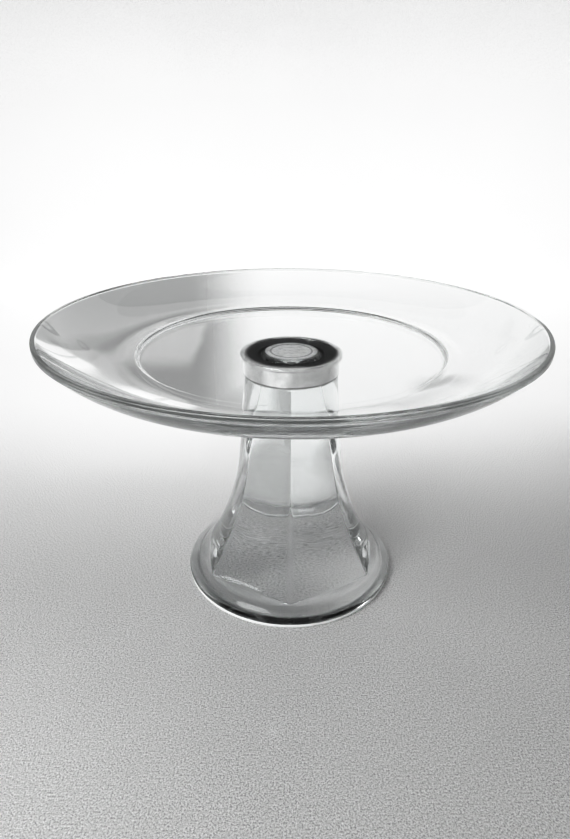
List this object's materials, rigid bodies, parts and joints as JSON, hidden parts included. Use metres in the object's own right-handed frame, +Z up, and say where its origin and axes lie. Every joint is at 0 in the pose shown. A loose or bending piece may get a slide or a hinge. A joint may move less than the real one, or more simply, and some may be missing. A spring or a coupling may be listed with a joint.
{
  "type": "cake turntable",
  "caption": "Clear glass cake turntable: a dished round plate that turns on a sealed ball bearing in the neck of a hollow flared glass pedestal with panels inside.",
  "frame": {"origin": "centre of the foot, on the surface it stands on", "axes": "+Z up along the turning axis; a ridge of the panelled hollow faces -Y"},
  "size_m": [0.3, 0.3, 0.1807],
  "materials": {
    "clear_glass": "polished clear glass",
    "pedestal_glass": "fire-polished pressed glass",
    "clear_hub": "clear, polished",
    "clear_bond": "cured clear adhesive",
    "clear_silicone": "clear satin silicone",
    "polished_steel": "polished stainless steel",
    "black_anodised": "black anodised, satin",
    "black_steel": "black oxide",
    "bearing_steel": "ground bearing steel",
    "ball_steel": "lapped bearing steel",
    "cage_nylon": "moulded nylon",
    "seal_rubber": "moulded black rubber"
  },
  "bodies": {
    "base": {"pedestal": "pedestal_glass", "foot_ring": "clear_silicone", "collar_bond": "clear_bond", "collar": "polished_steel", "bearing_outer_ring": "bearing_steel", "bearing_seal_upper": "seal_rubber", "bearing_seal_lower": "seal_rubber", "bearing_cover": "black_anodised", "cover_screws": "black_steel"},
    "turning_plate": {"plate": "clear_glass", "hub_bond": "clear_bond", "hub": "clear_hub", "bearing_inner_ring": "bearing_steel", "hub_circlip": "black_steel"},
    "ball_cage": {"bearing_cage": "cage_nylon", "bearing_balls": "ball_steel"}
  },
  "joints": [
    {"name": "plate_spin", "type": "hinge", "parent": "base", "child": "turning_plate", "pos_m": [0, 0, 0.1475], "axis": [0, 0, 1], "continuous": true},
    {"name": "cage_spin", "type": "hinge", "parent": "base", "child": "ball_cage", "pos_m": [0, 0, 0.1475], "axis": [0, 0, 1], "continuous": true}
  ],
  "couplings": [
    {"joint": "cage_spin", "follows": "plate_spin", "ratio": 0.4382}
  ]
}
